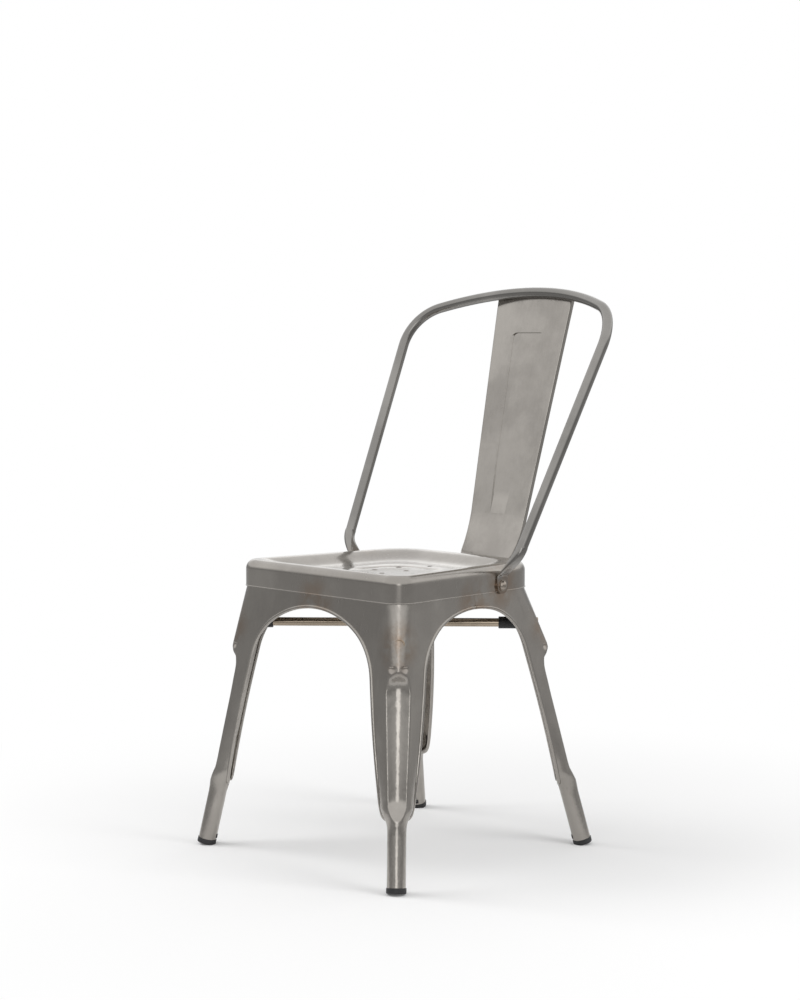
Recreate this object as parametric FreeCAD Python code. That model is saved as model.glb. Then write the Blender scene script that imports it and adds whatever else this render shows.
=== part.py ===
"""Metal bistro chair: pressed sheet legs and seat pan, tube back hoop, sheet splat.

Lengths are millimetres, +Z is up, the sitter faces -Y. The chair is drawn about the
middle of its four feet and is moved, at the end, to stand on the middle of its own box.
"""
import FreeCAD
import Part
import math
import os

V = FreeCAD.Vector

# Seat pan
SHEET = 1.2                    # wall of every pressed part
FLANGE_SPARE = 8.0             # sheet drawn past the rolled edge, trimmed by the arch
SHOULDER_SPARE = 14.0          # more of it at the arch's shoulder
WELD_SPARE = 3.0
FLOOR_SPARE = 12.0
SEAT_HALF_FRONT = 180.0        # half width of the skirt along its front edge
SEAT_HALF_REAR = 148.0         # half width of the skirt along its rear edge
SEAT_FRONT_Y = -173.0
SEAT_REAR_Y = 146.5
SEAT_CORNER_FRONT = 30.0
SEAT_CORNER_REAR = 64.0
SKIRT_BOTTOM_Z = 398.0
SEAT_TOP_Z = 437.5             # crown of the rolled rim
RIM_ROLL = 13.5                # radius of the rolled rim
DISH_DEPTH = 18.0              # how far the middle lies under the rim
DISH_REACH = 88.0              # width of the slope from the rim's crown to the flat middle
DISH_SHOULDER = 0.42           # part of that reach taken by the steep shoulder
RIM_FLAT = 1.0                 # flat crown of the rim before the dish falls away
DISH_STEPS = (0.0, 5.0, 12.0, 22.0, 34.0, 52.0, DISH_REACH)
DISH_CORNER_FRONT = 15.5       # corner radii of the dish along the rim's crown
DISH_CORNER_REAR = 49.5
DRAIN_HOLE = 8.0
DRAIN_PITCH = 50.0             # centre hole to each of the six around it
DRAIN_CENTRE_Y = 10.0

# Legs
FOOT_FRONT = (212.5, -209.5)   # axis of the foot tube on the floor
FOOT_REAR = (183.0, 209.5)
FOOT_TUBE = 27.0               # outer diameter of the rolled foot tube
SEAM_GAP = 0.6                 # butt seam down the inside of the foot tube
TUBE_TOP_Z = 79.0              # the pressing is a closed tube below this
CHANNEL_END_Z = 114.0          # and an open channel above this
CHANNEL_TOP_Z = 312.0          # the aprons reach down to here
TUBE_LEAN = 0.045              # extra lean of the foot tube towards the middle
PAN_CLEARANCE = 0.3            # between the legs and the inside of the skirt
LEG_TOP_Z = 422.0              # upper edge of the aprons, inside the pan
LEG_CORNER_LOW = 16.0          # corner radius of the leg once the flute has begun
FLANGE_WIDTH_HIGH = 55.0       # corner to the middle of the rolled edge, at FLANGE_HIGH_Z
FLANGE_WIDTH_LOW = 43.2        # the same at FLANGE_LOW_Z
FLANGE_HIGH_Z = 270.0
FLANGE_LOW_Z = 110.0
ARCH_TOP_Z = 380.0             # top of the arch, on the middle of the rolled edge
ARCH_CROWN_RADIUS = 174.0
ARCH_SHOULDER_RADIUS = 97.0
SIDE_WELD_Y = -6.0             # weld between the front and rear aprons
BEAD_RADIUS = 2.8              # rolled edge along arches and flanges
BEAD_END_Z = 97.0
FLUTE_TOP_Z = 311.0
FLUTE_FULL_Z = 281.0
FLUTE_TAPER_Z = 128.0
FLUTE_BOTTOM_Z = 92.0
FLUTE_HALF = 25.0              # corner to either edge of the flute
FLUTE_DEPTH = 5.5
FLUTE_EDGE = 1.3               # roundness of the flute's two edges
FLUTE_NARROWING = 6.0          # how much nearer the corner its edges are at the foot
FLUTE_RISE = 21.0              # lifts the flute out of the sheet at its arched top
FLUTE_FADE = 14.0              # and where it runs out above the foot tube
CURL_START_Z = 265.0           # the flanges begin to fold inwards below this
CURL_DEPTH = 9.0

# Plastic feet
CAP_DIAMETER = 28.6
CAP_HEIGHT = 8.0
CAP_SOLE_RISE = 1.3            # middle of the sole over the floor, before it is trimmed flat
CAP_ROUNDING = 2.0
CAP_PLUG_WALL = 2.5
CAP_PLUG_HEIGHT = 16.0
CAP_CLEARANCE = 0.3
CAP_TAB_WIDTH = 5.0
CAP_TAB_HEIGHT = 6.0
CAP_TAB_RISE = 14.0            # middle of the locking tab over the sole
CAP_TAB_PROUD = 0.8            # how far the tab stands out of the tube

# Cross brace
BRACE_Z = 342.0
BRACE_TUBE = 13.0
BRACE_WALL = 1.2
BRACE_END_GAP = 1.2            # room left in the leg's corner, filled by weld
COPE_CLEARANCE = 0.3
SLEEVE_DIAMETER = 18.0
SLEEVE_LENGTH = 27.0
SLEEVE_CLEARANCE = 0.3
SLEEVE_ROUNDING = 1.0
SLEEVE_FROM_FRONT = 36.0       # sleeve's outer end from the leg's corner line
SLEEVE_FROM_REAR = 45.0

# Back hoop
HOOP_TUBE = 16.0
HOOP_WALL = 1.5
HOOP_BASE = (188.3, 66.9, 465.6)
HOOP_SIDE = 379.0              # from there to the corner where side and top bar would meet
HOOP_LEAN = 25.8               # degrees back from upright
HOOP_SPLAY = 4.9               # degrees out from upright, each side
HOOP_CORNER_REACH = 53.0       # how far before and after that corner the bend runs
HOOP_TOP_Y = 286.0             # middle of the top bar, which bows up and back
HOOP_TOP_Z = 842.3
LOBE_Y = 54.5                  # bolt in the flattened end of the hoop
LOBE_Z = 407.0
LOBE_RADIUS = 12.3
LOBE_THICKNESS = 3.2
LOBE_GAP = 0.1
LOBE_NECK = 13.5               # the flat lobe reaches this far over the bolt
LOBE_STEP = 0.12
CRANK_KNEE = 14.0              # the tube runs straight this far before it is cranked
CRANK_SHARES = ((0.20, 1.14, 0.84), (0.52, 1.34, 0.52), (0.82, 1.46, 0.27))

# Splat
SPLAT_HALF_TOP = 80.2
SPLAT_HALF_LOW = 58.9
SPLAT_TOP_Y = 288.6
SPLAT_TOP_Z = 828.1
SPLAT_LOW_Y = 206.6
SPLAT_LOW_Z = 494.6
SPLAT_RISE = 11.0              # sheet drawn past that top, trimmed by the hoop
SPLAT_BEND_RADIUS = 190.0
SPLAT_BEND_TO = 33.0           # lean, in degrees, where the long bend ends
SPLAT_HEEL_RADIUS = 30.0
SPLAT_HEEL_TO = 80.0
SPLAT_TAB_RADIUS = 6.0
SPLAT_TAB_HALF = 46.0
SPLAT_TAB_END_Z = 399.5
SPLAT_TAB_GAP = 0.1
SPLAT_FLANGE = 7.0
SPLAT_LIP = 2.9                # depth of the rounded edge where the side flange has run out
SPLAT_EDGE_RADIUS = 2.6
SPLAT_TOP_GAP = 0.3
EMBOSS_TOP_Z = 779.0
EMBOSS_HALF_TOP = 34.5
EMBOSS_MIDDLE_Z = 579.0
EMBOSS_HALF_MIDDLE = 24.0
EMBOSS_FADE_Z = 524.0
EMBOSS_HALF_FADE = 18.5
EMBOSS_END_Z = 496.0
EMBOSS_HALF_END = 15.5
EMBOSS_DEPTH = 2.0
EMBOSS_DRAFT = 1.4             # how much narrower its floor is than its mouth, each side
EMBOSS_CORNER = 12.0
EMBOSS_RUNOUT = 0.05           # depth left at its lower end
EMBOSS_OVERRUN = 5.0

# Fasteners
BOLT_DIAMETER = 6.0
BOLT_HEAD = 14.0
BOLT_HEAD_HEIGHT = 4.2
BOLT_LENGTH = 15.0
FASTENER_CLEARANCE = 0.3
WASHER_DIAMETER = 17.0
WASHER_THICKNESS = 1.2
NUT_ACROSS_FLATS = 10.0
NUT_HEIGHT = 5.0
RIVET_DIAMETER = 4.8
RIVET_HEAD = 9.0
RIVET_HEAD_HEIGHT = 2.0
RIVET_TAIL = 7.5
RIVET_TAIL_HEIGHT = 1.5
RIVET_SPACING = 60.0
RIVET_Z = 408.5

SEAT_TAPER = (SEAT_HALF_FRONT - SEAT_HALF_REAR) / (SEAT_REAR_Y - SEAT_FRONT_Y)
TAPER_LENGTH = math.hypot(1.0, SEAT_TAPER)


def smooth(x):
    """Ease from 0 to 1 as x goes from 0 to 1."""
    x = min(1.0, max(0.0, x))
    return x * x * (3.0 - 2.0 * x)


def ramp(z, high, low):
    """0 above the height called high, 1 below the height called low."""
    return smooth((high - z) / (high - low))


def spline(points):
    """A smooth edge through evenly spaced points."""
    curve = Part.BSplineCurve()
    curve.interpolate(Points=points, Parameters=[float(i) for i in range(len(points))])
    return curve.toShape()


def side_x(y, inset=0.0):
    """Half width of the seat's outline at y, moved in by an inset."""
    return SEAT_HALF_FRONT - SEAT_TAPER * (y - SEAT_FRONT_Y) - inset * TAPER_LENGTH


def rounded_wire(corners):
    """A closed wire through (x, y, z, radius) corners, each rounded by its radius."""
    edges = []
    last = None
    first = None
    for i, (x, y, z, radius) in enumerate(corners):
        here = V(x, y, z)
        before = V(*corners[i - 1][:3]) - here
        after = V(*corners[(i + 1) % len(corners)][:3]) - here
        before.normalize()
        after.normalize()
        half = before.getAngle(after) / 2.0
        reach = radius / math.tan(half)
        start = here + before * reach
        end = here + after * reach
        bisector = before + after
        bisector.normalize()
        middle = here + bisector * (radius / math.sin(half) - radius)
        if last is not None:
            edges.append(Part.LineSegment(last, start).toShape())
        else:
            first = start
        edges.append(Part.Arc(start, middle, end).toShape())
        last = end
    edges.append(Part.LineSegment(last, first).toShape())
    return Part.Wire(edges)


def seat_wire(inset, z, front_radius, rear_radius):
    """The seat's outline moved in by an inset, at height z."""
    front = SEAT_FRONT_Y + inset
    rear = SEAT_REAR_Y - inset
    return rounded_wire([
        (side_x(front, inset), front, z, front_radius),
        (side_x(rear, inset), rear, z, rear_radius),
        (-side_x(rear, inset), rear, z, rear_radius),
        (-side_x(front, inset), front, z, front_radius),
    ])


def dish_tool(drop):
    """The hollow of the dished top, lowered by a drop."""
    wires = []
    for past in DISH_STEPS:
        part = past / DISH_REACH
        fall = DISH_DEPTH * (0.55 * smooth(part / DISH_SHOULDER) + 0.45 * smooth(part))
        wires.append(seat_wire(RIM_ROLL + RIM_FLAT + past, SEAT_TOP_Z - fall - drop,
                               DISH_CORNER_FRONT + 0.35 * past, DISH_CORNER_REAR - 0.12 * past))
    return Part.makeLoft(wires, True, False, False, 3)


def pan_block(wall):
    """Skirt and rolled rim as a block; a wall moves its skin in by that much."""
    low_z = SKIRT_BOTTOM_Z - 4 * wall
    top_z = SEAT_TOP_Z - wall
    outline = seat_wire(wall, low_z, SEAT_CORNER_FRONT - wall, SEAT_CORNER_REAR - wall)
    block_solid = Part.Face(outline).extrude(V(0, 0, top_z - low_z))
    rim = [edge for edge in block_solid.Edges if edge.BoundBox.ZMin > top_z - 0.1]
    return block_solid.makeFillet(RIM_ROLL - wall, rim)


def make_seat_pan():
    """The seat: skirt, rolled rim and dished top, one sheet thick, with drain holes."""
    inside = pan_block(SHEET).cut(dish_tool(SHEET))
    pan = pan_block(0.0).cut(dish_tool(0.0)).cut(inside)
    holes = [(0.0, DRAIN_CENTRE_Y)]
    for i in range(6):
        turn = math.radians(60 * i + 30)
        holes.append((DRAIN_PITCH * math.cos(turn), DRAIN_CENTRE_Y + DRAIN_PITCH * math.sin(turn)))
    for x, y in holes:
        pan = pan.cut(Part.makeCylinder(DRAIN_HOLE / 2, SEAT_TOP_Z, V(x, y, 1.0)))
    return pan


class Leg:
    """One corner of the chair, on the +X side."""

    def __init__(self, foot, rear):
        self.rear = rear
        sign = -1.0 if rear else 1.0
        self.turn = sign
        self.seat_radius = SEAT_CORNER_REAR if rear else SEAT_CORNER_FRONT
        inset = SHEET + PAN_CLEARANCE
        edge_y = SEAT_REAR_Y - inset if rear else SEAT_FRONT_Y + inset
        self.inset = inset
        self.across = V(-1, 0, 0)
        self.along = V(-SEAT_TAPER * sign, sign, 0)
        self.along.normalize()
        self.out = -(self.across + self.along)
        self.out.normalize()
        self.chord = self.along - self.across
        self.chord.normalize()
        self.half = math.acos(-self.out.dot(self.across))
        self.top = V(side_x(edge_y, inset), edge_y, SKIRT_BOTTOM_Z)
        self.axis_foot = V(foot[0], foot[1], 0.0)
        self.bottom = self.axis_foot + self.out * self.tube_depth()

    def tube_depth(self):
        """From the leg's corner line in to the axis of the foot tube."""
        return FOOT_TUBE / 2 / math.sin(self.half)

    def corner(self, z):
        """The sharp corner where the leg's two panels would meet, at height z."""
        share = (SKIRT_BOTTOM_Z - z) / SKIRT_BOTTOM_Z
        point = self.top + (self.bottom - self.top) * share
        return V(point.x, point.y, z)

    def radius(self, z):
        """Outer corner radius of the pressing at height z."""
        high = self.seat_radius - self.inset
        share = min(1.0, max(0.0, (SKIRT_BOTTOM_Z - z) / (SKIRT_BOTTOM_Z - CHANNEL_TOP_Z)))
        return high + (LEG_CORNER_LOW - high) * share

    def tube_axis(self, z):
        """Centre of the foot tube at height z."""
        return self.corner(z) - self.out * (self.tube_depth() + TUBE_LEAN * z)

    def full_run(self, z, side):
        """Distance from the corner to the weld, along one panel."""
        here = self.corner(z)
        if side > 0:
            return abs(SIDE_WELD_Y - here.y) / abs(self.along.y)
        return here.x

    def flange(self, z):
        """Distance from the corner to the middle of the rolled edge on the straight flank."""
        slope = (FLANGE_WIDTH_HIGH - FLANGE_WIDTH_LOW) / (FLANGE_HIGH_Z - FLANGE_LOW_Z)
        return FLANGE_WIDTH_LOW + slope * (z - FLANGE_LOW_Z)

    def channel_point(self, z, s):
        """Outer face of the open channel: s < 0 is the front or rear panel, s > 0 the side."""
        cot = 1.0 / math.tan(self.half)
        c = s * math.sin(self.half)
        radius = self.radius(z)
        if abs(c) < radius * math.cos(self.half):
            height = -radius / math.sin(self.half) + math.sqrt(radius * radius - c * c)
        else:
            height = -abs(c) * cot
        begun = ramp(z, FLUTE_TOP_Z, FLUTE_FULL_Z)
        if begun > 0.0:
            taper = ramp(z, FLUTE_TAPER_Z, FLUTE_BOTTOM_Z)
            narrowing = FLUTE_NARROWING * ramp(z, FLUTE_FULL_Z, FLUTE_BOTTOM_Z)
            half = (FLUTE_HALF - narrowing) * math.sin(self.half)
            lift = FLUTE_RISE * (1.0 - begun) + FLUTE_FADE * taper
            groove = -half * cot - FLUTE_DEPTH * (1.0 - (c / half) ** 2) + lift
            mean = (height + groove) / 2.0
            edge = FLUTE_EDGE * min(1.0, 4.0 * begun)
            height = mean - math.sqrt(((height - groove) / 2.0) ** 2 + edge ** 2)
        point = self.corner(z) + self.chord * c + self.out * height
        past = abs(s) - FLUTE_HALF
        if past > 0.0 and z < CURL_START_Z:
            curl = CURL_DEPTH * ((CURL_START_Z - z) / (CURL_START_Z - FLANGE_LOW_Z)) ** 2
            width = self.flange(z) - FLUTE_HALF
            inward = self.along if s < 0 else self.across
            point = point + inward * (curl * (past / width) ** 2)
        return point

    def tube_point(self, z, share):
        """Outer face of the closed foot tube; share runs -1 to 1 round from the seam."""
        turn = share * (math.pi - SEAM_GAP / FOOT_TUBE)
        spoke = (self.out * math.cos(turn) + self.chord * math.sin(turn)) * (FOOT_TUBE / 2)
        drift = (self.tube_axis(1.0) - self.tube_axis(0.0)) - V(0, 0, 1.0)
        stretch = math.hypot(1.0, drift.Length) - 1.0
        drift.normalize()
        return self.tube_axis(z) + spoke + drift * (spoke.dot(drift) * stretch)

    def point(self, z, s):
        """Outer face of the pressing at any height."""
        closed = ramp(z, CHANNEL_END_Z, TUBE_TOP_Z)
        if closed <= 0.0:
            return self.channel_point(z, s)
        round_part = self.tube_point(z, s / self.flange(z))
        if closed >= 1.0:
            return round_part
        return self.channel_point(z, s) * (1.0 - closed) + round_part * closed

    def inner_point(self, z, s, depth):
        """The point that lies a depth in from the outer face, square to it."""
        step = 0.05
        tangent = self.point(z, s + step) - self.point(z, s - step)
        inward = V(-tangent.y, tangent.x, 0) * self.turn
        inward.normalize()
        return self.point(z, s) + inward * depth

    def section(self, z):
        """Closed wire of the open channel or the closed foot tube at height z."""
        spare = FLANGE_SPARE * (1.0 - ramp(z, 2 * CHANNEL_END_Z, CHANNEL_END_Z))
        spare += SHOULDER_SPARE * ramp(-z, -FLANGE_HIGH_Z, -CHANNEL_TOP_Z)
        width = self.flange(z) + spare
        middle = FLUTE_HALF + 7.0
        runs = [middle * i / 10.0 for i in range(-10, 11)]
        low = [-width + (width - middle) * i / 4.0 for i in range(5)]
        high = [-s for s in reversed(low)]
        edges = []
        for line in (low, runs, high):
            edges.append(spline([self.point(z, s) for s in line]))
        edges.append(Part.LineSegment(self.point(z, width), self.inner_point(z, width, SHEET)).toShape())
        for line in (high, runs, low):
            edges.append(spline([self.inner_point(z, s, SHEET) for s in reversed(line)]))
        edges.append(Part.LineSegment(self.inner_point(z, -width, SHEET), self.point(z, -width)).toShape())
        return Part.Wire(edges)

    def apron_section(self, z):
        """Closed wire of both aprons and the corner between them, at height z."""
        ends = []
        for side in (-1, 1):
            ends.append(self.full_run(z, side) + WELD_SPARE)
        corner = self.corner(z)
        radius = self.radius(z)
        middle = max(FLUTE_HALF + 7.0, radius / math.tan(self.half) + 1.0)
        runs = [middle * i / 10.0 for i in range(-10, 11)]
        skins = []
        for depth in (0.0, SHEET):
            low = corner + self.across * ends[0] + self.along * depth
            high = corner + self.along * ends[1] + self.across * depth
            skins.append((low, [self.inner_point(z, s, depth) for s in runs], high))
        outer, inner = skins
        inner[1].reverse()
        return Part.Wire([
            Part.LineSegment(outer[0], outer[1][0]).toShape(),
            spline(outer[1]),
            Part.LineSegment(outer[1][-1], outer[2]).toShape(),
            Part.LineSegment(outer[2], inner[2]).toShape(),
            Part.LineSegment(inner[2], inner[1][0]).toShape(),
            spline(inner[1]),
            Part.LineSegment(inner[1][-1], inner[0]).toShape(),
            Part.LineSegment(inner[0], outer[0]).toShape(),
        ])


class Arch:
    """Half an arch in one panel: a crown arc, a shoulder arc and a straight flank."""

    def __init__(self, leg, side):
        self.leg = leg
        self.side = side
        self.inward = leg.along if side > 0 else leg.across
        high = leg.corner(FLANGE_HIGH_Z)
        self.up = leg.corner(SKIRT_BOTTOM_Z) - high
        self.up -= self.inward * self.up.dot(self.inward)
        self.up.normalize()
        self.normal = self.inward.cross(self.up) * (leg.turn if side > 0 else -leg.turn)
        self.top = leg.corner(ARCH_TOP_Z) + self.inward * leg.full_run(ARCH_TOP_Z, side)
        foot = self.flat(leg.corner(FLANGE_HIGH_Z) + self.inward * leg.flange(FLANGE_HIGH_Z))
        end = self.flat(leg.corner(FLANGE_LOW_Z) + self.inward * leg.flange(FLANGE_LOW_Z))
        self.lean = math.atan2(end[0] - foot[0], foot[1] - end[1])
        aside = foot[0] * math.cos(self.lean) + foot[1] * math.sin(self.lean)
        difference = ARCH_CROWN_RADIUS - ARCH_SHOULDER_RADIUS
        reach = aside - ARCH_SHOULDER_RADIUS + ARCH_CROWN_RADIUS * math.sin(self.lean)
        self.turn = math.asin(reach / difference) - self.lean
        self.crown = (0.0, -ARCH_CROWN_RADIUS)
        self.shoulder = (difference * math.sin(self.turn),
                         difference * math.cos(self.turn) - ARCH_CROWN_RADIUS)

    def flat(self, point):
        """Distance from the weld and height over the arch's top, in the panel's plane."""
        away = point - self.top
        return -away.dot(self.inward), away.dot(self.up)

    def place(self, u, w, depth=0.0):
        """The point at those flat coordinates, a depth in from the outer face."""
        return self.top - self.inward * u + self.up * w - self.normal * depth

    def around(self, centre, radius, angle, depth=0.0):
        return self.place(centre[0] + radius * math.sin(angle), centre[1] + radius * math.cos(angle), depth)

    def flank(self, z, depth=0.0):
        """The middle of the rolled edge on the straight flank, at height z."""
        edge = self.leg.corner(z) + self.inward * self.leg.flange(z)
        return edge - self.normal * depth

    def stations(self, depth=0.0):
        """Weld, middle of the crown, join, middle of the shoulder, and top of the flank."""
        last = math.pi / 2 - self.lean
        crown, shoulder = self.crown, self.shoulder
        return [self.around(crown, ARCH_CROWN_RADIUS, 0.0, depth),
                self.around(crown, ARCH_CROWN_RADIUS, self.turn / 2, depth),
                self.around(crown, ARCH_CROWN_RADIUS, self.turn, depth),
                self.around(shoulder, ARCH_SHOULDER_RADIUS, (self.turn + last) / 2, depth),
                self.around(shoulder, ARCH_SHOULDER_RADIUS, last, depth)]

    def cutter(self):
        """The prism that opens this half of the arch."""
        reach = 12.0
        top, crown_mid, join, shoulder_mid, flank = self.stations(-reach)
        low = self.flank(CHANNEL_END_Z, -reach)
        depth = self.flat(low)[1]
        low_mid = self.place(-8.0, depth, -reach)
        top_mid = self.place(-8.0, 0.0, -reach)
        wire = Part.Wire([
            Part.Arc(top, crown_mid, join).toShape(),
            Part.Arc(join, shoulder_mid, flank).toShape(),
            Part.LineSegment(flank, low).toShape(),
            Part.LineSegment(low, low_mid).toShape(),
            Part.LineSegment(low_mid, top_mid).toShape(),
            Part.LineSegment(top_mid, top).toShape(),
        ])
        return Part.Face(wire).extrude(self.normal * (-5.0 * reach))

    def beads(self):
        """The rolled edge: round bars along the crown, the shoulder, the flank and the curl."""
        middle = SHEET / 2
        top, crown_mid, join, shoulder_mid, flank = self.stations(middle)
        crown = self.place(self.crown[0], self.crown[1], middle)
        shoulder = self.place(self.shoulder[0], self.shoulder[1], middle)
        axis = (top - crown).cross(join - crown)
        axis.normalize()
        first = Part.Face(Part.Wire([Part.Circle(top, self.inward, BEAD_RADIUS).toShape()]))
        bars = [first.extrude(self.inward * (2 * WELD_SPARE)),
                first.revolve(crown, axis, math.degrees(self.turn))]
        direction = axis.cross(join - crown)
        second = Part.Face(Part.Wire([Part.Circle(join, direction, BEAD_RADIUS).toShape()]))
        bars.append(second.revolve(shoulder, axis, 90.0 - math.degrees(self.lean + self.turn)))
        corner = self.flank(CURL_START_Z, middle)
        direction = corner - flank
        third = Part.Face(Part.Wire([Part.Circle(flank, direction, BEAD_RADIUS).toShape()]))
        bars.append(third.extrude(direction))
        sign = 1.0 if self.side > 0 else -1.0
        steps = 12
        points = [corner]
        for i in range(1, steps + 1):
            z = CURL_START_Z + (BEAD_END_Z - CURL_START_Z) * i / steps
            points.append(self.leg.inner_point(z, sign * self.leg.flange(z), middle))
        rings = [Part.Wire([Part.Circle(corner, direction, BEAD_RADIUS).toShape()])]
        for i in range(1, steps + 1):
            heading = points[min(i + 1, steps)] - points[i - 1]
            rings.append(Part.Wire([Part.Circle(points[i], heading, BEAD_RADIUS).toShape()]))
        bars.append(Part.makeLoft(rings, True, False))
        return bars


def make_leg(leg):
    """A pressed leg with half of both aprons next to it."""
    apron = Part.makeLoft([leg.apron_section(SKIRT_BOTTOM_Z), leg.apron_section(CHANNEL_TOP_Z)], True, True)
    collar = Part.Face(leg.apron_section(SKIRT_BOTTOM_Z)).extrude(V(0, 0, LEG_TOP_Z - SKIRT_BOTTOM_Z))
    heights = [CHANNEL_TOP_Z, 304, 296, 288, 276, 262, 245, 225, 200, 175, 150, 132,
               122, 114, 108, 102, 96, 90, 84, TUBE_TOP_Z]
    channel = Part.makeLoft([leg.section(z) for z in heights], True, False)
    tube = Part.makeLoft([leg.section(TUBE_TOP_Z), leg.section(-FLOOR_SPARE)], True, True)
    sheet = apron.fuse([collar, channel, tube])
    arches = [Arch(leg, side) for side in (-1, 1)]
    for arch in arches:
        sheet = sheet.cut(arch.cutter())
    for arch in arches:
        bars = arch.beads()
        sheet = sheet.fuse(bars[0].fuse(bars[1:]))
    reach = 400.0
    far = SIDE_WELD_Y - reach if leg.rear else SIDE_WELD_Y
    sheet = sheet.cut(Part.makeBox(reach, reach, reach * 2, V(0, far, -reach / 2)))
    sheet = sheet.cut(Part.makeBox(reach, reach * 2, reach * 2, V(-reach, -reach, -reach / 2)))
    return sheet


def block(centre, x_dir, z_dir, size):
    """A box of that size about a centre, turned to two given directions."""
    box = Part.makeBox(size[0], size[1], size[2], V(-size[0] / 2, -size[1] / 2, -size[2] / 2))
    turn = FreeCAD.Rotation(x_dir, z_dir.cross(x_dir), z_dir, "ZXY")
    box.Placement = FreeCAD.Placement(centre, turn)
    return box


def foot_frame(leg):
    """Middle of the sole, direction up the foot tube and direction to its seam."""
    floor = leg.tube_axis(0.0)
    up = leg.tube_axis(TUBE_TOP_Z) - floor
    up.normalize()
    seam = -leg.out - up * (-leg.out).dot(up)
    seam.normalize()
    return floor + up * CAP_SOLE_RISE, up, seam


def trim_foot(solid, leg):
    """Square off the foot tube where its cap begins and open the slot for the cap's tab."""
    sole, up, seam = foot_frame(leg)
    solid = solid.cut(Part.makeCylinder(CAP_DIAMETER, 4 * CAP_DIAMETER, sole + up * CAP_HEIGHT, -up))
    slot = block(sole + up * CAP_TAB_RISE + seam * (FOOT_TUBE / 2), seam, up,
                 (4 * SHEET, CAP_TAB_WIDTH + 2 * CAP_CLEARANCE, CAP_TAB_HEIGHT + 2 * CAP_CLEARANCE))
    return solid.cut(slot)


def make_cap(leg):
    """A moulded foot: a head the tube stands on, a plug inside it and a locking tab."""
    sole, up, seam = foot_frame(leg)
    head = Part.makeCylinder(CAP_DIAMETER / 2, CAP_HEIGHT, sole, up)
    rim = [edge for edge in head.Edges if edge.Closed and (edge.CenterOfMass - sole).Length < 0.1]
    head = head.makeFillet(CAP_ROUNDING, rim)
    plug_radius = FOOT_TUBE / 2 - SHEET - CAP_CLEARANCE
    plug = Part.makeCylinder(plug_radius, CAP_HEIGHT / 2 + CAP_PLUG_HEIGHT, sole + up * (CAP_HEIGHT / 2), up)
    hollow = Part.makeCylinder(plug_radius - CAP_PLUG_WALL, CAP_PLUG_HEIGHT + 1.0, sole + up * CAP_HEIGHT, up)
    tab_reach = FOOT_TUBE / 2 + CAP_TAB_PROUD - plug_radius + CAP_PLUG_WALL / 2
    middle = plug_radius - CAP_PLUG_WALL / 2 + tab_reach / 2
    tab = block(sole + up * CAP_TAB_RISE + seam * middle, seam, up, (tab_reach, CAP_TAB_WIDTH, CAP_TAB_HEIGHT))
    cap = head.fuse(plug).cut(hollow).fuse(tab)
    below = CAP_DIAMETER * 2
    return cap.cut(Part.makeBox(below, below, below, V(sole.x - below / 2, sole.y - below / 2, -below)))


def brace_end(leg):
    """Corner of a leg at the brace's height, and the room a tube leaves in it."""
    radius = leg.radius(BRACE_Z)
    inner = radius - SHEET
    room = radius / math.sin(leg.half) - math.sqrt(inner ** 2 - (BRACE_TUBE / 2) ** 2) + BRACE_END_GAP
    return leg.corner(BRACE_Z), room


def make_brace(front, rear):
    """The cross brace: one whole tube, two coped halves, and a sleeve near each leg."""
    near, near_room = brace_end(front)
    far, far_room = brace_end(rear)
    near = V(-near.x, near.y, near.z)
    run = far - near
    length = run.Length
    run.normalize()
    start = near + run * near_room
    span = length - near_room - far_room
    outer = Part.makeCylinder(BRACE_TUBE / 2, span, start, run)
    inner = Part.makeCylinder(BRACE_TUBE / 2 - BRACE_WALL, span, start, run)
    whole = outer.cut(inner)
    cope = Part.makeCylinder(BRACE_TUBE / 2 + COPE_CLEARANCE, span, start, run)
    halves = whole.mirror(V(0, 0, 0), V(1, 0, 0)).cut(cope).Solids
    halves.sort(key=lambda solid: solid.BoundBox.Center.y)
    pieces = {"brace_tube": whole, "brace_half_front": halves[0], "brace_half_rear": halves[-1]}
    places = {"front": near + run * SLEEVE_FROM_FRONT,
              "rear": near + run * (length - SLEEVE_FROM_REAR - SLEEVE_LENGTH)}
    for name, place in places.items():
        sleeve = Part.makeCylinder(SLEEVE_DIAMETER / 2, SLEEVE_LENGTH, place, run)
        rims = [edge for edge in sleeve.Edges if edge.Closed]
        sleeve = sleeve.makeFillet(SLEEVE_ROUNDING, rims)
        sleeve = sleeve.cut(Part.makeCylinder(BRACE_TUBE / 2 + SLEEVE_CLEARANCE, SLEEVE_LENGTH, place, run))
        other = sleeve.mirror(V(0, 0, 0), V(1, 0, 0))
        left, right = (other, sleeve) if name == "front" else (sleeve, other)
        pieces["brace_sleeve_%s_left" % name] = left
        pieces["brace_sleeve_%s_right" % name] = right
    return pieces


def hoop_up():
    """Direction up the +X side of the hoop."""
    splay = math.radians(HOOP_SPLAY)
    lean = math.radians(HOOP_LEAN)
    return V(math.sin(splay), math.cos(splay) * math.sin(lean), math.cos(splay) * math.cos(lean))


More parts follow.
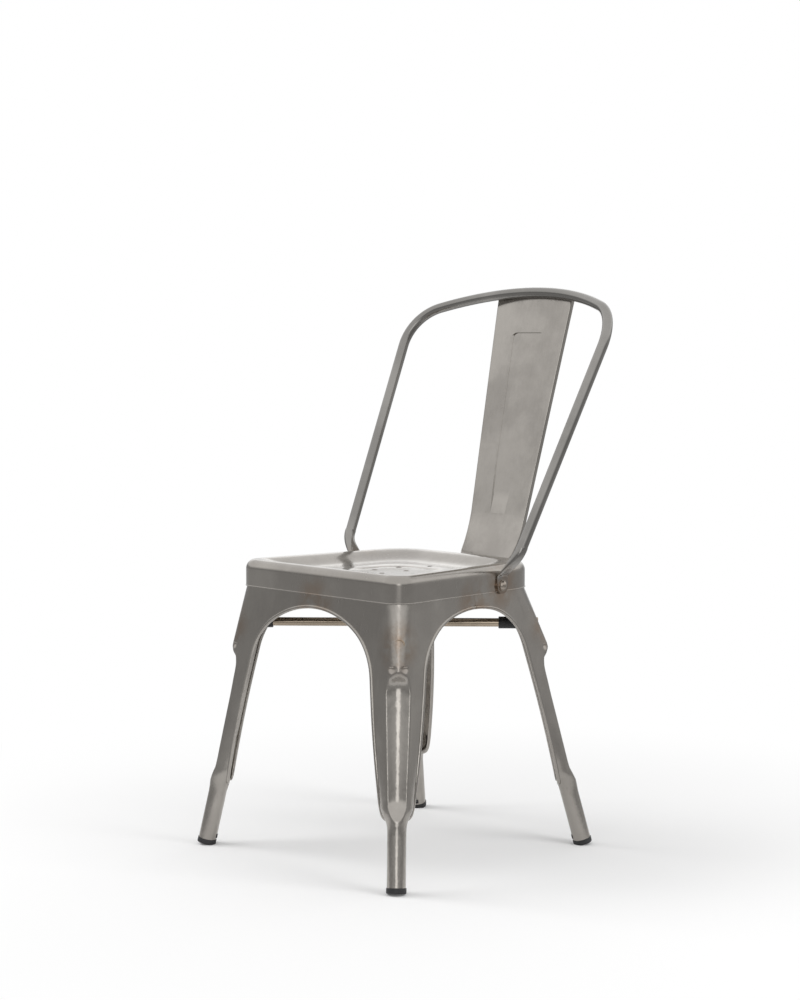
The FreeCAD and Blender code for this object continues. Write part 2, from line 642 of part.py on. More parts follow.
def hoop_bar(radius):
    """A round bar along the hoop: straight sides, corner bends and one long bend on top."""
    base = V(*HOOP_BASE)
    up = hoop_up()
    knee = base + up * HOOP_SIDE
    rise = V(0, HOOP_TOP_Y - knee.y, HOOP_TOP_Z - knee.z)
    turn = 2.0 * math.atan(rise.Length / (knee.x + HOOP_CORNER_REACH))
    level = V(-1, 0, 0)
    outward = V(rise)
    outward.normalize()
    slant = level * math.cos(turn) + outward * math.sin(turn)
    start = knee - up * HOOP_CORNER_REACH
    end = knee + slant * HOOP_CORNER_REACH
    half = (-up).getAngle(slant) / 2.0
    inward = slant - up
    inward.normalize()
    corner_centre = knee + inward * (HOOP_CORNER_REACH / math.cos(half))
    corner_axis = up.cross(slant)
    corner_axis.normalize()
    crown_centre = V(0, HOOP_TOP_Y, HOOP_TOP_Z) - outward * (end.x / math.sin(turn))
    crown_axis = slant.cross(level)
    crown_axis.normalize()
    side = Part.Face(Part.Wire([Part.Circle(base, up, radius).toShape()])).extrude(start - base)
    first = Part.Face(Part.Wire([Part.Circle(start, up, radius).toShape()]))
    corner = first.revolve(corner_centre, corner_axis, 180.0 - math.degrees(2.0 * half))
    second = Part.Face(Part.Wire([Part.Circle(end, slant, radius).toShape()]))
    crown = second.revolve(crown_centre, crown_axis, math.degrees(turn))
    bar = side.fuse([corner, crown])
    return bar.fuse(mirrored(bar))


def flat_tube(centre, direction, wide, thick):
    """Section of a flattened tube, square to a direction, wide along the skirt."""
    direction = V(direction)
    direction.normalize()
    aside = V(-SEAT_TAPER, 1.0, 0)
    across = aside - direction * aside.dot(direction)
    across.normalize()
    through = direction.cross(across)
    flat = wide - thick
    edges = []
    last = None
    for side in (1, -1):
        middle = centre + across * (side * flat)
        for first in (-90, 0):
            points = []
            for angle in (first, first + 45, first + 90):
                turn = math.radians(angle)
                points.append(middle + across * (side * thick * math.cos(turn))
                              + through * (side * thick * math.sin(turn)))
            if last is not None and first == -90:
                edges.append(Part.LineSegment(last, points[0]).toShape())
            edges.append(Part.Arc(*points).toShape())
            last = points[-1]
    edges.append(Part.LineSegment(last, edges[0].Vertexes[0].Point).toShape())
    return Part.Wire(edges)


def skirt_side(y, z, out=0.0):
    """A point on the seat's +X skirt, moved out square to it, and that direction."""
    normal = V(1.0, SEAT_TAPER, 0)
    normal.normalize()
    return V(side_x(y), y, z) + normal * out, normal


def hoop_end():
    """The cranked and flattened end of the hoop on the +X side."""
    base = V(*HOOP_BASE)
    down = -hoop_up()
    lobe, normal = skirt_side(LOBE_Y, LOBE_Z, LOBE_GAP + LOBE_THICKNESS / 2)
    top = lobe + V(0, 0, LOBE_NECK)
    knee = base + down * CRANK_KNEE
    reach = top - knee
    tube = HOOP_TUBE / 2
    plate_half = LOBE_THICKNESS / 2 - LOBE_STEP
    plate_top = flat_tube(top, V(0, 0, -1), LOBE_RADIUS - LOBE_STEP, plate_half)
    sections = [flat_tube(base, down, tube + 0.5, tube + LOBE_STEP),
                flat_tube(base + down * (CRANK_KNEE / 2), down, tube + 0.5, tube)]
    for share, wide, thick in CRANK_SHARES:
        heading = down * (1.0 - share) * CRANK_KNEE + reach * share
        sections.append(flat_tube(knee + reach * share, heading, wide * tube, thick * tube))
    crank = Part.makeLoft(sections + [plate_top], True, False)
    plate = Part.Face(plate_top).extrude(V(0, 0, -LOBE_NECK))
    disc = Part.makeCylinder(LOBE_RADIUS, LOBE_THICKNESS, lobe - normal * (LOBE_THICKNESS / 2), normal)
    return crank.fuse([plate, disc])


def bolt_hole(radius):
    """A round bar through everything a hoop bolt passes."""
    middle, normal = skirt_side(LOBE_Y, LOBE_Z)
    return Part.makeCylinder(radius, 4 * BOLT_LENGTH, middle - normal * (2 * BOLT_LENGTH), normal)


def make_hoop():
    """The back hoop: one bent tube, its two ends cranked and flattened."""
    end = hoop_end().cut(bolt_hole(BOLT_DIAMETER / 2 + FASTENER_CLEARANCE))
    tube = hoop_bar(HOOP_TUBE / 2).cut(hoop_bar(HOOP_TUBE / 2 - HOOP_WALL))
    return tube.fuse([end, mirrored(end)])


def splat_path():
    """Stations down the splat's front face: y, z, lean in radians and share of the way to the tab."""
    slope = (SPLAT_TOP_Y - SPLAT_LOW_Y) / (SPLAT_TOP_Z - SPLAT_LOW_Z)
    lean = math.atan(slope)
    y, z = SPLAT_LOW_Y, SPLAT_LOW_Z
    tab_y = SEAT_REAR_Y + SPLAT_TAB_GAP
    stations = [(y, z, lean)]

    def turn_to(y, z, start, end, radius, steps):
        for i in range(1, steps + 1):
            a = start + (end - start) * i / steps
            sign = 1.0 if end > start else -1.0
            stations.append((y + sign * radius * (math.cos(a) - math.cos(start)),
                             z - sign * radius * (math.sin(a) - math.sin(start)), a))
        return stations[-1]

    y, z, lean = turn_to(y, z, lean, math.radians(SPLAT_BEND_TO), SPLAT_BEND_RADIUS, 4)
    y, z, lean = turn_to(y, z, lean, math.radians(SPLAT_HEEL_TO), SPLAT_HEEL_RADIUS, 6)
    inner = SPLAT_TAB_RADIUS
    run = (y - tab_y - inner * (1.0 - math.cos(lean))) / math.sin(lean)
    for i in (1, 2):
        stations.append((y - run * math.sin(lean) * i / 2, z - run * math.cos(lean) * i / 2, lean))
    y, z, lean = stations[-1]
    y, z, lean = turn_to(y, z, lean, 0.0, inner, 6)
    for i in (1, 2):
        stations.append((y, z + (SPLAT_TAB_END_Z - z) * i / 2, 0.0))
    return stations


def splat_section(y, z, lean, half, flange):
    """Closed wire of the splat's sheet across its width, with both edges bent back."""
    back = V(0, math.cos(lean), -math.sin(lean))
    origin = V(0, y, z)
    skins = []
    for depth in (0.0, SHEET):
        bend = SPLAT_EDGE_RADIUS - depth
        corner = half - SPLAT_EDGE_RADIUS
        diagonal = bend * math.sqrt(0.5)
        right = [(half - depth, flange), (half - depth, SPLAT_EDGE_RADIUS),
                 (corner + diagonal, SPLAT_EDGE_RADIUS - diagonal), (corner, depth)]
        skin = [(-x, b) for x, b in right] + [(x, b) for x, b in reversed(right)]
        skins.append([V(x, 0, 0) + origin + back * b for x, b in skin])
    outer, inner = skins
    inner.reverse()
    edges = []
    for skin in (outer, inner):
        edges.append(Part.LineSegment(skin[0], skin[1]).toShape())
        edges.append(Part.Arc(skin[1], skin[2], skin[3]).toShape())
        edges.append(Part.LineSegment(skin[3], skin[4]).toShape())
        edges.append(Part.Arc(skin[4], skin[5], skin[6]).toShape())
        edges.append(Part.LineSegment(skin[6], skin[7]).toShape())
        if skin is outer:
            edges.append(Part.LineSegment(outer[7], inner[0]).toShape())
    edges.append(Part.LineSegment(inner[7], outer[0]).toShape())
    return Part.Wire(edges)


def emboss(grow):
    """The recess pressed into the splat, or its back when grown by the sheet."""
    slope = (SPLAT_TOP_Y - SPLAT_LOW_Y) / (SPLAT_TOP_Z - SPLAT_LOW_Z)
    lean = math.atan(slope)
    back = V(0, math.cos(lean), -math.sin(lean))
    up = V(0, math.sin(lean), math.cos(lean))

    def face_point(x, z, depth):
        return V(x, SPLAT_LOW_Y + slope * (z - SPLAT_LOW_Z), z) + back * depth

    lip = grow if grow > 0.0 else 0.0
    rows = ((EMBOSS_END_Z, EMBOSS_HALF_END, EMBOSS_RUNOUT), (EMBOSS_FADE_Z, EMBOSS_HALF_FADE, EMBOSS_DEPTH),
            (EMBOSS_MIDDLE_Z, EMBOSS_HALF_MIDDLE, EMBOSS_DEPTH),
            (EMBOSS_TOP_Z + 2 * grow, EMBOSS_HALF_TOP, EMBOSS_DEPTH))
    wires = []
    for z, half, depth in rows:
        mouth = half + grow
        floor = mouth - EMBOSS_DRAFT * depth / EMBOSS_DEPTH
        wires.append(Part.makePolygon([
            face_point(-mouth, z, lip), face_point(mouth, z, lip),
            face_point(floor, z, depth + grow), face_point(-floor, z, depth + grow),
            face_point(-mouth, z, lip)]))
    body = Part.makeLoft(wires, True, True)
    high = EMBOSS_TOP_Z + grow
    low = EMBOSS_END_Z - EMBOSS_OVERRUN
    wide = EMBOSS_HALF_TOP + grow + 0.5
    corners = []
    for x, z, radius in ((wide, high, EMBOSS_CORNER + grow), (2 * wide, low, 1.0), (-2 * wide, low, 1.0),
                         (-wide, high, EMBOSS_CORNER + grow)):
        point = face_point(x, z, -1.0)
        corners.append((point.x, point.y, point.z, radius))
    frame = Part.Face(rounded_wire(corners)).extrude(back * (2 * EMBOSS_DEPTH + EMBOSS_OVERRUN))
    return body.common(frame)


def make_splat():
    """The back splat: a sheet with bent edges and a pressed recess, tucked under the hoop."""
    stations = splat_path()
    slope = (SPLAT_TOP_Y - SPLAT_LOW_Y) / (SPLAT_TOP_Z - SPLAT_LOW_Z)
    widen = (SPLAT_HALF_TOP - SPLAT_HALF_LOW) / (SPLAT_TOP_Z - SPLAT_LOW_Z)
    lean = stations[0][2]
    top_z = SPLAT_TOP_Z + SPLAT_RISE
    top = splat_section(SPLAT_TOP_Y + slope * SPLAT_RISE, top_z, lean,
                        SPLAT_HALF_TOP + widen * SPLAT_RISE, SPLAT_FLANGE)
    sections = []
    count = len(stations) - 1
    for i, (y, z, lean_here) in enumerate(stations):
        share = smooth(i / (count * 0.6))
        half = SPLAT_HALF_LOW + (SPLAT_TAB_HALF - SPLAT_HALF_LOW) * share
        flange = SPLAT_FLANGE + (SPLAT_LIP - SPLAT_FLANGE) * share
        sections.append(splat_section(y, z, lean_here, half, flange))
    splat = Part.makeLoft([top] + sections, True, True)
    splat = splat.fuse(emboss(SHEET)).cut(emboss(0.0))
    clear = hoop_bar(HOOP_TUBE / 2 + SPLAT_TOP_GAP)
    splat = splat.cut(clear)
    return max(splat.Solids, key=lambda solid: solid.Volume)


def dome(base, normal, diameter, height):
    """A domed head standing on its base."""
    radius = diameter / 2
    bulge = (radius ** 2 + height ** 2) / (2 * height)
    ball = Part.makeSphere(bulge, base + normal * (height - bulge))
    return ball.common(Part.makeCylinder(diameter, height + 1.0, base, normal))


def make_bolt():
    """Hoop bolt, outer washer and inner nut on the +X side."""
    face, normal = skirt_side(LOBE_Y, LOBE_Z, LOBE_GAP + LOBE_THICKNESS)
    seat = face + normal * WASHER_THICKNESS
    bolt = dome(seat, normal, BOLT_HEAD, BOLT_HEAD_HEIGHT)
    bolt = bolt.fuse(Part.makeCylinder(BOLT_DIAMETER / 2, BOLT_LENGTH, seat, -normal))
    hole = bolt_hole(BOLT_DIAMETER / 2 + FASTENER_CLEARANCE)
    washer = Part.makeCylinder(WASHER_DIAMETER / 2, WASHER_THICKNESS, face, normal).cut(hole)
    inside = skirt_side(LOBE_Y, LOBE_Z, -2 * SHEET - PAN_CLEARANCE)[0]
    reach = NUT_ACROSS_FLATS / math.sqrt(3.0)
    aside = V(0, 0, 1).cross(normal)
    corners = []
    for i in range(7):
        turn = math.radians(60 * i)
        corners.append(inside + aside * (reach * math.cos(turn)) + V(0, 0, reach * math.sin(turn)))
    nut = Part.Face(Part.makePolygon(corners)).extrude(-normal * NUT_HEIGHT).cut(hole)
    return bolt, washer, nut


def rivet_hole(x, radius):
    return Part.makeCylinder(radius, 30.0, V(x, SEAT_REAR_Y - 15.0, RIVET_Z), V(0, 1, 0))


def make_rivet(x):
    """A rivet through the splat's tab, the skirt and the apron."""
    outside = V(x, SEAT_REAR_Y + SPLAT_TAB_GAP + SHEET, RIVET_Z)
    inside = V(x, SEAT_REAR_Y - 2 * SHEET - PAN_CLEARANCE, RIVET_Z)
    shank = Part.makeCylinder(RIVET_DIAMETER / 2, (outside - inside).Length, inside, V(0, 1, 0))
    head = dome(outside, V(0, 1, 0), RIVET_HEAD, RIVET_HEAD_HEIGHT)
    tail = dome(inside, V(0, -1, 0), RIVET_TAIL, RIVET_TAIL_HEIGHT)
    return shank.fuse([head, tail])


def mirrored(solid):
    """The same piece on the other side of the chair."""
    return solid.mirror(V(0, 0, 0), V(1, 0, 0))


def build():
    """Every piece of the chair, by name."""
    pan = make_seat_pan()
    bolt_bar = bolt_hole(BOLT_DIAMETER / 2 + FASTENER_CLEARANCE)
    rivet_bar = rivet_hole(RIVET_SPACING / 2, RIVET_DIAMETER / 2 + FASTENER_CLEARANCE)
    pan = pan.cut([bolt_bar.common(Part.makeBox(200, 400, 500, V(20, -200, 0))), rivet_bar])
    pan = pan.cut([mirrored(bolt_bar).common(Part.makeBox(200, 400, 500, V(-220, -200, 0))), mirrored(rivet_bar)])
    pieces = {"seat_pan": pan}
    legs = []
    for name, foot, rear in (("front", FOOT_FRONT, False), ("rear", FOOT_REAR, True)):
        leg = Leg(foot, rear)
        legs.append(leg)
        solid = trim_foot(make_leg(leg), leg)
        if rear:
            solid = solid.cut([bolt_bar, rivet_bar])
        cap = make_cap(leg)
        pieces["leg_%s_left" % name] = solid
        pieces["leg_%s_right" % name] = mirrored(solid)
        pieces["foot_cap_%s_left" % name] = cap
        pieces["foot_cap_%s_right" % name] = mirrored(cap)
    pieces.update(make_brace(legs[0], legs[1]))
    pieces["back_hoop"] = make_hoop()
    pieces["back_splat"] = make_splat().cut([rivet_bar, mirrored(rivet_bar)])
    for name, solid in zip(("hoop_bolt", "hoop_washer", "hoop_nut"), make_bolt()):
        pieces[name + "_left"] = solid
        pieces[name + "_right"] = mirrored(solid)
    pieces["splat_rivet_left"] = make_rivet(RIVET_SPACING / 2)
    pieces["splat_rivet_right"] = make_rivet(-RIVET_SPACING / 2)
    return pieces


def main():
    os.makedirs("parts", exist_ok=True)
    pieces = build()
    box = FreeCAD.BoundBox()
    for solid in pieces.values():
        box.add(solid.optimalBoundingBox())
    print("box", box)
    for name, solid in pieces.items():
        solid.translate(V(-box.Center.x, -box.Center.y, -box.ZMin))
        if solid.ShapeType != "Solid":
            solid = solid.Solids[0] if len(solid.Solids) == 1 else solid
        solid.exportStep("parts/%s.step" % name)
        print(name, solid.ShapeType, len(solid.Solids), solid.isValid(), round(solid.Volume))


main()
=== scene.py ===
"""Looks of the metal bistro chair: raw steel under clear lacquer, and black plastic."""
import math

import bmesh
import bpy
from mathutils import Matrix, Vector


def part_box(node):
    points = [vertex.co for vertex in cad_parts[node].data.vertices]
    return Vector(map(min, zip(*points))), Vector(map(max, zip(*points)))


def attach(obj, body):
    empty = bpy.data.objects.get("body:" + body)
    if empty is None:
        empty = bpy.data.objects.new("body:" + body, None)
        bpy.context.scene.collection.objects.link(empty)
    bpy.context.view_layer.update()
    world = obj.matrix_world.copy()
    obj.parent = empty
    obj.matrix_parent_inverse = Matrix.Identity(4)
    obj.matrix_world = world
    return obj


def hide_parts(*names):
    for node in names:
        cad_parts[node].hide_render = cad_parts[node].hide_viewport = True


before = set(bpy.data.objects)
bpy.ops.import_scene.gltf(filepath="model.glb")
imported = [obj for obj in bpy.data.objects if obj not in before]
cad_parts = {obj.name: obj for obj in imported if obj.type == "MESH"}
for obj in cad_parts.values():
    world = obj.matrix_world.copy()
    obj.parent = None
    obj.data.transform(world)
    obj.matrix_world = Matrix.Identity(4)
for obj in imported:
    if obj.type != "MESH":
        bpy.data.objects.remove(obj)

bl_info = {
    "name": "Metal bistro chair",
    "version": (1, 0, 0),
    "blender": (4, 5, 0),
    "location": "View3D > Sidebar > Chair",
    "description": "Dresses the steel bistro chair and sets its studio",
    "category": "Object",
}

# Lengths are in metres. Places on the chair are those of its drawing, which drawn() moves.
SHIFT_Y = -0.037483            # puts the drawing over the middle of its box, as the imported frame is

CAMERA_AZIMUTH = 46.785        # degrees from straight ahead of the chair, to its left
CAMERA_ELEVATION = 4.289       # degrees
CAMERA_DISTANCE = 3.3
CAMERA_FOCAL = 2191.7          # in pixels of the 800 by 1000 image
CAMERA_ASIDE = -0.001935
CAMERA_HEIGHT = 0.5273         # of the point that the camera looks at
IMAGE_HEIGHT = 1000
SENSOR = 36.0                  # mm

BRACE_HEIGHT = 0.342
BRACE_RADIUS = 0.0065
LEG_TOP_HEIGHT = 0.398
FRONT_LEG_TOP = (0.1805, -0.1725)   # sharp outer corner of a front leg, at that height
FRONT_LEG_FOOT = (0.2220, -0.2190)
REAR_LEG_TOP = (0.1480, 0.1450)
REAR_LEG_FOOT = (0.1925, 0.2190)
BOLT = (0.1605, 0.0545, 0.407)
APRON_WELD_HEIGHT = 0.385
SIDE_APRON_WELD = (0.169, -0.006)
FRONT_APRON_WELD_Y = -0.180
REAR_APRON_WELD_Y = 0.152

SKIRT_BOTTOM = 0.3985
SKIRT_FRONT_CORNER = (0.180, -0.173)
SKIRT_REAR_CORNER = (0.148, 0.1465)
SKIRT_FRONT_RADIUS = 0.030
SKIRT_REAR_RADIUS = 0.064
SKIRT_CORNER_STEPS = 16
LIP_RADIUS = 0.0009
LIP_RESOLUTION = 3             # of its round section

DISH_HEIGHT = 0.4195
DRAIN_CENTRE = (0.0, 0.010)
DRAIN_RADIUS = 0.004
DRAIN_PITCH = 0.050
DRAIN_RIM_RADIUS = 0.0004
DRAIN_STEPS = 40
DRAIN_RIM_STEPS = 8
RIPPLE_SUBDIVISIONS = 3

MERGE_DISTANCE = 0.00001
NORMAL_WEIGHT = 90             # how far large faces lead the shading of the edges beside them

# Noises: scale, detail and roughness.
CLOUD = (9.0, 5.0, 0.62)
GRAIN = (1.0, 4.0, 0.6)
GRAIN_STRETCH = (260.0, 260.0, 12.0)   # makes the grain run up the chair
SPECK = (420.0, 2.0, 0.5)
RAGGED = (38.0, 4.0, 0.65)
MOULD_GRAIN = (900.0, 2.0, 0.5)
MOULD_PATCHES = (45.0, 3.0, 0.5)

# Ranges of a noise, and what is added to the roughness at their two ends.
CLOUD_TONES = (0.38, 0.66)
CLOUD_GLOSS = (0.25, 0.75)
CLOUD_ROUGHNESS = (0.07, -0.05)
GRAIN_GLOSS = (0.35, 0.75)
GRAIN_ROUGHNESS = (-0.03, 0.05)
HEAT_EDGE = (0.30, 0.62)
PLASTIC_TONES = (0.4, 0.7)
PLASTIC_GLOSS = (0.3, 0.7)
PLASTIC_ROUGHNESS = (0.42, 0.58)       # here the roughness itself

TUBE_SMOOTHER = 0.04           # how much less rough drawn tube is than sheet
HARDWARE_ROUGHNESS = 0.22
BRACE_ROUGHNESS = 0.2
TUBE_SHADE = 0.8               # of the tube's colour, in its darker clouds
WORN_GAIN, WORN_LIFT = 1.9, 0.004      # lighter patches of the plastic
COAT_WEIGHT = 0.35
COAT_ROUGHNESS = 0.08
SPECK_RELIEF = 0.5             # beside the grain's 1
STEEL_RELIEF = (0.06, 0.0003)  # strength and depth of the bump
PLASTIC_RELIEF = (0.2, 0.0002)
HEAT_SHARE = 0.6               # of the heat colour, where it is strongest
HEAT_CORE = 0.25               # of the reach, inside which the tint is full
SHEET_HEAT_REACH = 0.05
TUBE_HEAT_REACH = 0.045
BRACE_HEAT_REACH = 0.07

WHITE = (1.0, 1.0, 1.0, 1.0)
FLOOR_TONE = (0.96, 0.96, 0.96, 1.0)
FLOOR_REACH = 6.0
FLOOR_SIDES = 96
FLOOR_FADE_START = 0.15        # of the floor radius
FLOOR_IN_METAL = 0.42          # how bright the far floor looks in the metal
WALL_SHADE = 0.34              # least that the metal sees in any direction
WALLS = (                      # direction, cosines where its light starts and is full, gain
    ((0.0, 0.0, 1.0), 0.08, 0.36, 0.62),
    ((0.73, -0.68, 0.12), 0.955, 0.997, 1.15),
    ((0.45, 0.88, 0.15), 0.80, 0.99, 0.16),
    ((-0.72, 0.69, 0.10), 0.86, 0.98, 0.50),
)
LAMPS = {                      # place, the point it is aimed at, width and height
    "key_light": ((-1.6, -1.3, 1.9), (0.0, 0.0, 0.5), (1.6, 1.6)),
    "fill_light": ((1.9, 0.4, 1.2), (0.0, 0.0, 0.4), (1.0, 1.8)),
}


class ChairFinish(bpy.types.PropertyGroup):
    """Colours, gloss and edges of the chair's finishes."""

    sheet_colour: bpy.props.FloatVectorProperty(
        name="Sheet colour", description="Raw steel sheet of the legs and the seat",
        subtype="COLOR", size=3, min=0.0, max=1.0, default=(0.43, 0.405, 0.372))
    sheet_dark: bpy.props.FloatVectorProperty(
        name="Sheet shade", description="Darker mill scale in the same sheet",
        subtype="COLOR", size=3, min=0.0, max=1.0, default=(0.355, 0.332, 0.305))
    tube_colour: bpy.props.FloatVectorProperty(
        name="Tube colour", description="Drawn steel tube of the hoop",
        subtype="COLOR", size=3, min=0.0, max=1.0, default=(0.33, 0.318, 0.30))
    brace_colour: bpy.props.FloatVectorProperty(
        name="Brace colour", description="Straw tinted tube of the brace and its welds",
        subtype="COLOR", size=3, min=0.0, max=1.0, default=(0.46, 0.38, 0.29))
    brace_dark: bpy.props.FloatVectorProperty(
        name="Brace shade", description="Darker clouds in the same tube",
        subtype="COLOR", size=3, min=0.0, max=1.0, default=(0.34, 0.28, 0.215))
    hardware_colour: bpy.props.FloatVectorProperty(
        name="Hardware colour", description="Bolts, washers, nuts and rivets",
        subtype="COLOR", size=3, min=0.0, max=1.0, default=(0.42, 0.37, 0.32))
    hardware_dark: bpy.props.FloatVectorProperty(
        name="Hardware shade", description="Darker clouds in the same steel",
        subtype="COLOR", size=3, min=0.0, max=1.0, default=(0.30, 0.26, 0.22))
    heat_colour: bpy.props.FloatVectorProperty(
        name="Heat tint", description="Straw and brown left by welding",
        subtype="COLOR", size=3, min=0.0, max=1.0, default=(0.30, 0.205, 0.135))
    plastic_colour: bpy.props.FloatVectorProperty(
        name="Plastic colour", description="Black feet and sleeves",
        subtype="COLOR", size=3, min=0.0, max=1.0, default=(0.012, 0.012, 0.013))
    sheet_roughness: bpy.props.FloatProperty(
        name="Sheet roughness", description="Middle of the sheet's roughness",
        min=0.05, max=1.0, default=0.19)
    crease_angle: bpy.props.FloatProperty(
        name="Crease angle", description="Edges sharper than this stay crisp",
        subtype="ANGLE", default=math.radians(28.0))
    splat_crease_angle: bpy.props.FloatProperty(
        name="Splat crease angle", description="The same for the splat, whose recess has low walls",
        subtype="ANGLE", default=math.radians(18.0))
    tube_crease_angle: bpy.props.FloatProperty(
        name="Tube crease angle", description="The same for round tubes, whose facets are wider",
        subtype="ANGLE", default=math.radians(62.0))


class ChairWelds(bpy.types.PropertyGroup):
    """Sizes of the weld beads."""

    ripple_size: bpy.props.FloatProperty(
        name="Ripple size", description="Radius of one ripple of weld",
        subtype="DISTANCE", default=0.0021)
    ripple_pitch: bpy.props.FloatProperty(
        name="Ripple pitch", description="Distance from one ripple to the next",
        subtype="DISTANCE", default=0.0016)


class ChairStudio(bpy.types.PropertyGroup):
    """Light and floor."""

    world_strength: bpy.props.FloatProperty(
        name="Room light", description="Strength of the light from all round", default=0.62)
    key_power: bpy.props.FloatProperty(
        name="Key light", description="Power of the large light on the chair's right",
        unit="POWER", default=30.0)
    fill_power: bpy.props.FloatProperty(
        name="Fill light", description="Power of the light on the chair's left",
        unit="POWER", default=18.0)
    floor_radius: bpy.props.FloatProperty(
        name="Floor radius", description="Where the floor has melted into the backdrop",
        subtype="DISTANCE", default=1.1)


def added(name, data):
    """A new object in the scene."""
    item = bpy.data.objects.new(name, data)
    bpy.context.scene.collection.objects.link(item)
    return item


def drawn(x, y, z):
    """A point of the chair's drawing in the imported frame."""
    return (x, y + SHIFT_Y, z)


def at_corners(piece):
    """Names of a piece's four copies, one for each leg."""
    return ["%s_%s_%s" % (piece, end, side) for end in ("front", "rear")
            for side in ("left", "right")]


def feed(tree, value, socket):
    """Link another socket to this one, or set it to a plain value."""
    if isinstance(value, bpy.types.NodeSocket):
        tree.links.new(value, socket)
    else:
        socket.default_value = value


def maths(tree, operation, first, second):
    """One step of arithmetic on two values, each a socket or a number."""
    node = tree.nodes.new("ShaderNodeMath")
    node.operation = operation
    feed(tree, first, node.inputs[0])
    feed(tree, second, node.inputs[1])
    return node.outputs["Value"]


def measured(tree, operation, vector, other=(0.0, 0.0, 0.0)):
    """The distance, dot product or length of a vector."""
    node = tree.nodes.new("ShaderNodeVectorMath")
    node.operation = operation
    node.inputs[1].default_value = other
    tree.links.new(vector, node.inputs[0])
    return node.outputs["Value"]


def between(tree, value, limits, results=(0.0, 1.0)):
    """The value moved from one range to another, eased and clamped."""
    node = tree.nodes.new("ShaderNodeMapRange")
    node.interpolation_type = "SMOOTHSTEP"
    for name, number in zip(("From Min", "From Max", "To Min", "To Max"), (*limits, *results)):
        node.inputs[name].default_value = number
    tree.links.new(value, node.inputs["Value"])
    return node.outputs["Result"]


def noise(tree, vector, scale, detail, roughness):
    """A noise on the given coordinates."""
    node = tree.nodes.new("ShaderNodeTexNoise")
    node.inputs["Scale"].default_value = scale
    node.inputs["Detail"].default_value = detail
    node.inputs["Roughness"].default_value = roughness
    tree.links.new(vector, node.inputs["Vector"])
    return node.outputs["Fac"]


def stretched(tree, vector, scale):
    """The coordinates stretched by three factors."""
    node = tree.nodes.new("ShaderNodeMapping")
    node.inputs["Scale"].default_value = scale
    tree.links.new(vector, node.inputs["Vector"])
    return node.outputs["Vector"]


def opaque(colour):
    """A colour of three numbers with full cover."""
    return (*colour, 1.0)


def blend_colours(tree, share, first, second):
    """A mix of two colours, each a socket or a plain colour."""
    node = tree.nodes.new("ShaderNodeMix")
    node.data_type = "RGBA"
    tree.links.new(share, node.inputs["Factor"])
    start, end = [socket for socket in node.inputs if socket.type == "RGBA"]
    feed(tree, first, start)
    feed(tree, second, end)
    return next(socket for socket in node.outputs if socket.type == "RGBA")


def near_points(tree, vector, points, near, far):
    """1 close to any of the points, 0 further away than far."""
    nearest = None
    for point in points:
        share = between(tree, measured(tree, "DISTANCE", vector, point), (near, far), (1.0, 0.0))
        nearest = share if nearest is None else maths(tree, "MAXIMUM", nearest, share)
    return nearest


def roughen(tree, shader, height, strength, depth):
    """Give the shader a fine relief."""
    bump = tree.nodes.new("ShaderNodeBump")
    bump.inputs["Strength"].default_value = strength
    bump.inputs["Distance"].default_value = depth
    tree.links.new(height, bump.inputs["Height"])
    tree.links.new(bump.outputs["Normal"], shader.inputs["Normal"])


def node_material(name):
    """A new material with its shader and the object's coordinates."""
    material = bpy.data.materials.new(name)
    material.use_nodes = True
    tree = material.node_tree
    tree.nodes.clear()
    output = tree.nodes.new("ShaderNodeOutputMaterial")
    shader = tree.nodes.new("ShaderNodeBsdfPrincipled")
    tree.links.new(shader.outputs["BSDF"], output.inputs["Surface"])
    return material, shader, tree.nodes.new("ShaderNodeTexCoord").outputs["Object"]


def heat_tinted(tree, coordinates, colour, points, reach):
    """The colour turned brown round the points, with a ragged edge."""
    ragged = between(tree, noise(tree, coordinates, *RAGGED), HEAT_EDGE)
    near = near_points(tree, coordinates, points, reach * HEAT_CORE, reach)
    tint = maths(tree, "MULTIPLY", maths(tree, "MULTIPLY", near, ragged), HEAT_SHARE)
    return blend_colours(tree, tint, colour, opaque(bpy.context.scene.chair_finish.heat_colour))


def steel(name, light, dark, roughness, points=(), reach=0.0):
    """Raw steel under clear lacquer, made once: cloudy, finely scratched and brown near welds."""
    made = bpy.data.materials.get(name)
    if made:
        return made
    material, shader, coordinates = node_material(name)
    tree = material.node_tree
    cloud = noise(tree, coordinates, *CLOUD)
    grain = noise(tree, stretched(tree, coordinates, GRAIN_STRETCH), *GRAIN)
    speck = noise(tree, coordinates, *SPECK)
    colour = blend_colours(tree, between(tree, cloud, CLOUD_TONES), opaque(dark), opaque(light))
    if points:
        colour = heat_tinted(tree, coordinates, colour, points, reach)
    tree.links.new(colour, shader.inputs["Base Color"])
    clouded = between(tree, cloud, CLOUD_GLOSS, [roughness + step for step in CLOUD_ROUGHNESS])
    scratched = between(tree, grain, GRAIN_GLOSS, GRAIN_ROUGHNESS)
    tree.links.new(maths(tree, "ADD", clouded, scratched), shader.inputs["Roughness"])
    shader.inputs["Metallic"].default_value = 1.0
    shader.inputs["Coat Weight"].default_value = COAT_WEIGHT
    shader.inputs["Coat Roughness"].default_value = COAT_ROUGHNESS
    relief = maths(tree, "ADD", grain, maths(tree, "MULTIPLY", speck, SPECK_RELIEF))
    roughen(tree, shader, relief, *STEEL_RELIEF)
    return material


